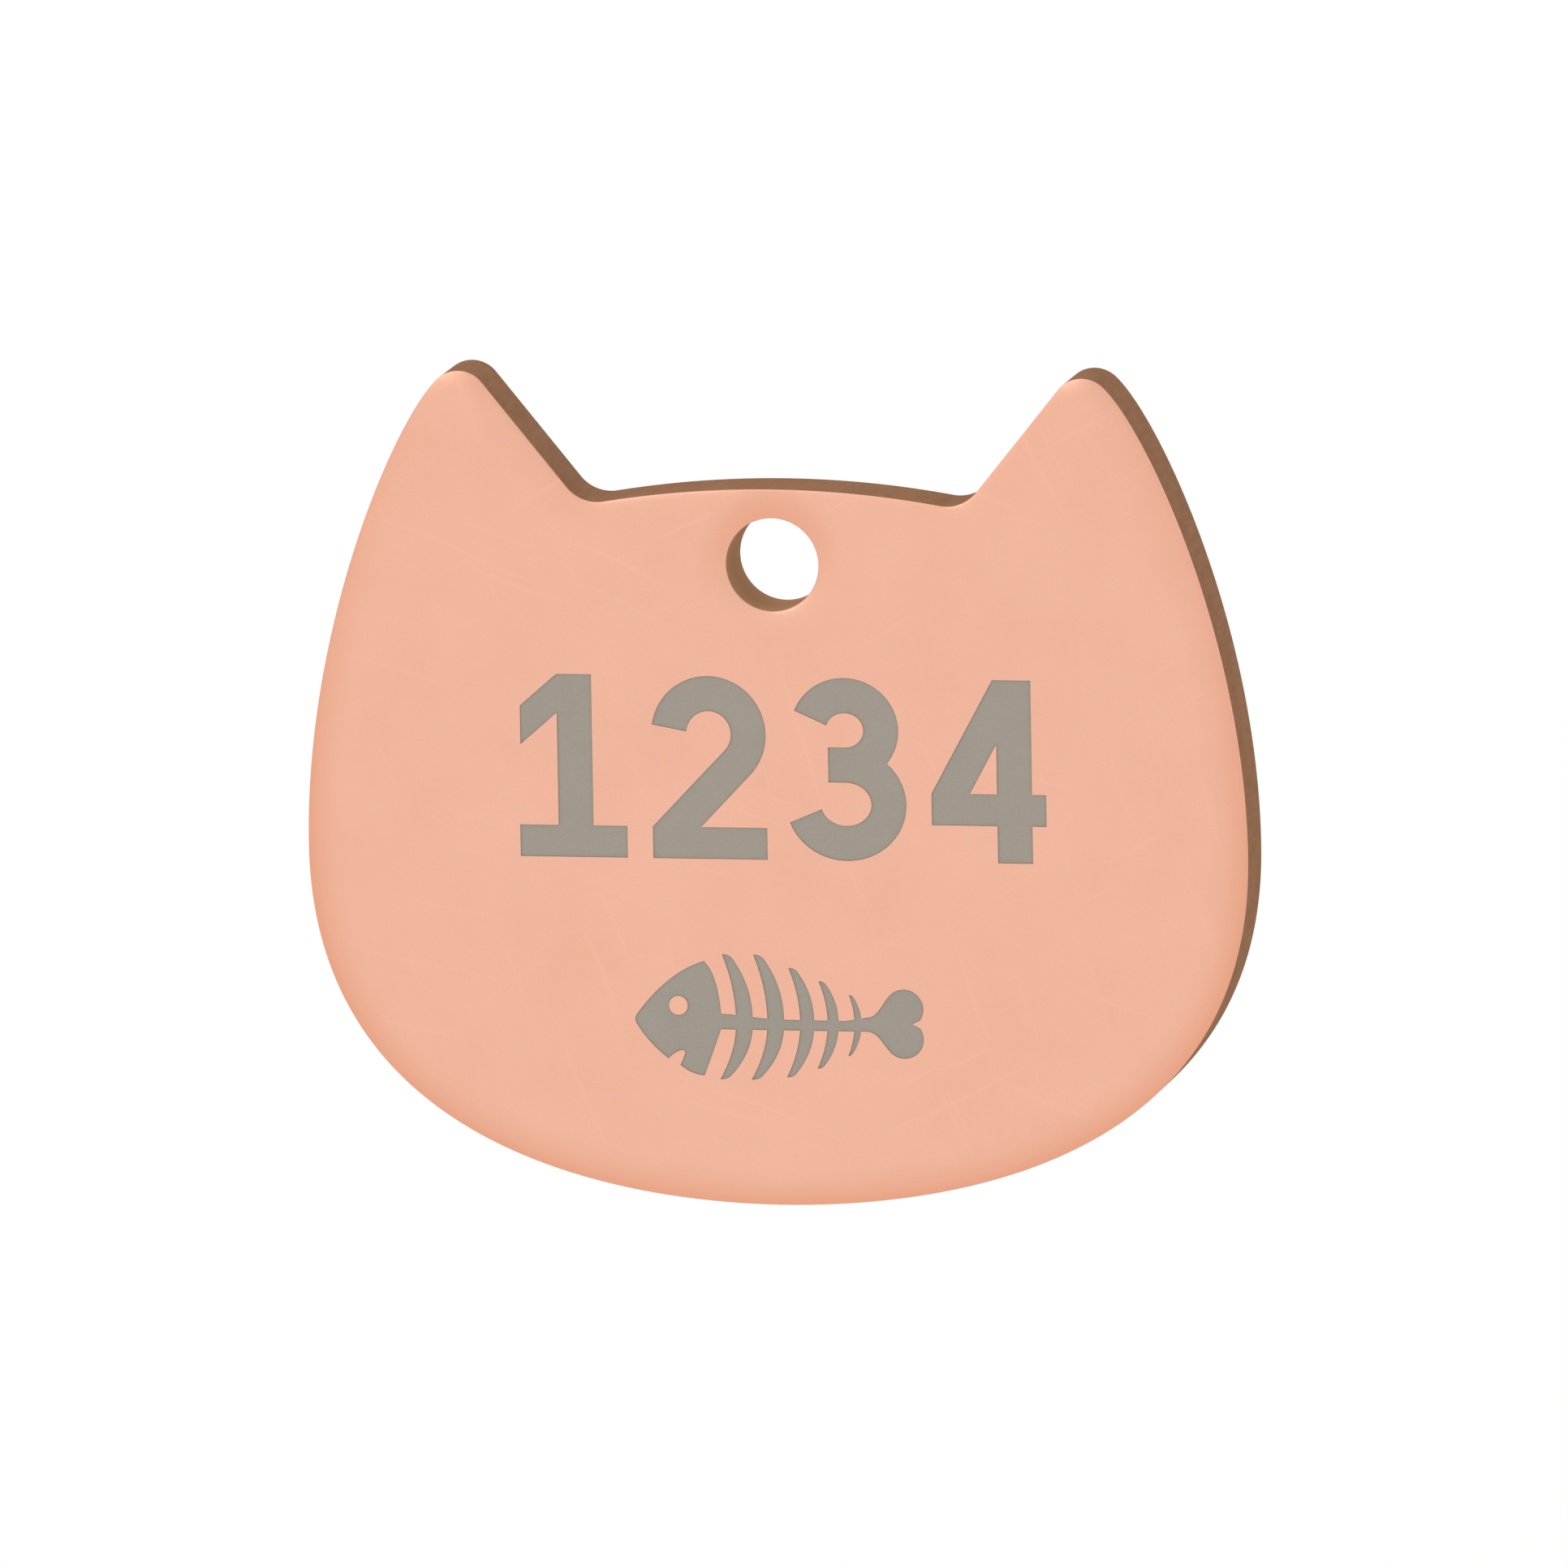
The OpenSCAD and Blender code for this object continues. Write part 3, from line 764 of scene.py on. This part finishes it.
def painted_shade_share(finish):
    """How much painted shade deepens the tone to copper: low on the rim, a little on the upper rim, and above
    the hole.
    """
    low = (PAINTED_SHADE_HIGH - finish.z - finish.x * PAINTED_SHADE_TILT).ramp(0, PAINTED_SHADE_HIGH - PAINTED_SHADE_LOW)
    from_axis = finish.from_axis()
    hole_shade = (1 - from_axis.ramp(*HOLE_SHADE_REACH)) * finish.z.ramp(*HOLE_SHADE_RISE)
    on_rim = low + (1 - low) * from_axis.ramp(*UPPER_RIM_SHADE_REACH) * UPPER_RIM_SHADE_SHARE
    share = (1 - finish.carried("rim")) ** PAINTED_SHADE_FADE * on_rim + hole_shade * HOLE_SHADE_SHARE
    return share.math("MINIMUM", 1)


def hairlines(finish, turn, per_mm, length, start):
    """Sparse thin scratches that run one way: 1 on a scratch and 0 beside it."""
    along = finish.x * math.cos(turn) + finish.z * math.sin(turn)
    across = finish.z * math.cos(turn) - finish.x * math.sin(turn)
    bowed = across + finish.noise(SCRATCH_BOWS_PER_MM, detail=1) * SCRATCH_BOW
    lines = finish.noise(1, detail=1, where=finish.vector(along / length, bowed * per_mm, start))
    return lines.ramp(*SCRATCH_EDGE)


def satin(finish):
    """Tone, roughness and height of the plated face: its grain and hairlines, painted shade that deepens the
    tone to copper low on the rim and above the hole, the haze that fingers leave, and a little polish along
    each cut edge."""
    grain = finish.noise(GRAIN_PER_MM, detail=3, roughness=0.6)
    scratched = sum(hairlines(finish, *scratch, SCRATCH_APART * i) for i, scratch in enumerate(SCRATCHES))
    haze = finish.noise(HAZE_PER_MM, detail=3, roughness=0.55)
    clouds = finish.noise(CLOUDS_PER_MM, detail=3)
    speckle = clouds.swing(CLOUD_CONTRAST) + grain.swing(GRAIN_CONTRAST) + scratched * SCRATCH_CONTRAST
    worn = 1 - (finish.carried("edge") / MM).ramp(*WORN_REACH)
    roughness = (
        SATIN_ROUGHNESS + grain.swing(GRAIN_ROUGHNESS) + haze.swing(HAZE_ROUGHNESS)
        + scratched * SCRATCH_ROUGHNESS - worn * WORN_POLISH)
    return (
        finish.blend(painted_shade_share(finish), finish.blend(speckle + 0.5, WARM_ROSE, PALE_ROSE), PAINTED_SHADE_COPPER),
        roughness, grain * GRAIN_DEPTH - scratched * SCRATCH_DEPTH)


rose_gold = Finish("rose gold")
cut = rose_gold.carried("cut_edge")
tone, roughness, height = satin(rose_gold)
cut_tone, cut_roughness, cut_height = cut_metal(rose_gold)
rose_gold.shade(
    Base_Color=rose_gold.blend(cut, tone, cut_tone),
    Roughness=roughness * (1 - cut) + cut_roughness * cut,
    Metallic=(1 - cut) * PLATED_METALLIC, Specular_IOR_Level=0,
    Normal=rose_gold.relief(height + cut * cut_height))


def front_piece(areas):
    """Which piece of the front a triangle of the drawing belongs to, from the areas that it lies in."""
    if "blank" not in areas or "hole" in areas:
        return "waste"
    if "fish" in areas and "eye" not in areas:
        return "fishbone_infill"
    return next((name for name in numerals if name in areas), "front_face_layer")


front_corners, front_triangles, lying_in = plan(
    {"blank": [outline], "hole": [hole], "fish": fish, "eye": [eye], **numerals}, rings)
front_measures = face_measures(front_corners)
front_parts = {}
for triangle, areas in zip(front_triangles, lying_in):
    front_parts.setdefault(front_piece(areas), []).append(triangle)

plating = {
    "thickness": SKIN_T * MM, "rim_drop": CROWN_DROP * MM, "dish_drop": DISH_DROP * MM, "lip": LIP * MM,
    "material": rose_gold.material}
front = flat_piece("front_face_layer", front_corners, front_parts["front_face_layer"], front_measures)
sheet.grow(front, **plating)
mount(front, FRONT, CORE_T / 2, "front_skin")

back_corners, back_triangles = punched(rings)
back = flat_piece("back_face_layer", back_corners, back_triangles, face_measures(back_corners))
sheet.grow(back, **plating)
mount(back, BACK, CORE_T / 2, "back_skin")


# Grey infills
# Hard grey enamel, poured into the windows of the front layer and levelled just below its face. It lies on
# the core plate.

INFILL_SINK = 0.03
PALE_GREY, DARK_GREY = (0.338, 0.3, 0.252), (0.296, 0.26, 0.217)
WAVES_PER_MM, WAVE_DEPTH = 2.4, 0.004
PIGMENT_PER_MM, PIGMENT_CONTRAST, PIGMENT_DEPTH = 16, 1.4, 0.0008
SHADES_PER_MM, SHADE_CONTRAST = 0.7, 0.6
ENAMEL_ROUGHNESS, PIGMENT_ROUGHNESS, WAVE_ROUGHNESS, ENAMEL_SPECULAR = 0.46, 0.16, 0.08, 0.4

enamel = Finish("grey enamel")
waves = enamel.noise(WAVES_PER_MM)
pigment = enamel.noise(PIGMENT_PER_MM, detail=3, roughness=0.65)
mottle = pigment.swing(PIGMENT_CONTRAST) + enamel.noise(SHADES_PER_MM).swing(SHADE_CONTRAST)
enamel.shade(
    Base_Color=enamel.blend(mottle + 0.5, DARK_GREY, PALE_GREY),
    Roughness=ENAMEL_ROUGHNESS + pigment.swing(PIGMENT_ROUGHNESS) + waves.swing(WAVE_ROUGHNESS),
    Specular_IOR_Level=ENAMEL_SPECULAR,
    Normal=enamel.relief(waves * WAVE_DEPTH + pigment * PIGMENT_DEPTH))


def infill(name, node=None):
    """Fills the window of one mark, and stands for its node where the source has one."""
    piece = flat_piece(name, front_corners, front_parts[name], front_measures)
    sheet.grow(piece, thickness=(SKIN_T - INFILL_SINK) * MM, material=enamel.material)
    mount(piece, FRONT, CORE_T / 2, node)


infill("fishbone_infill", "fishbone_inlay")
for name in numerals:
    infill(name)
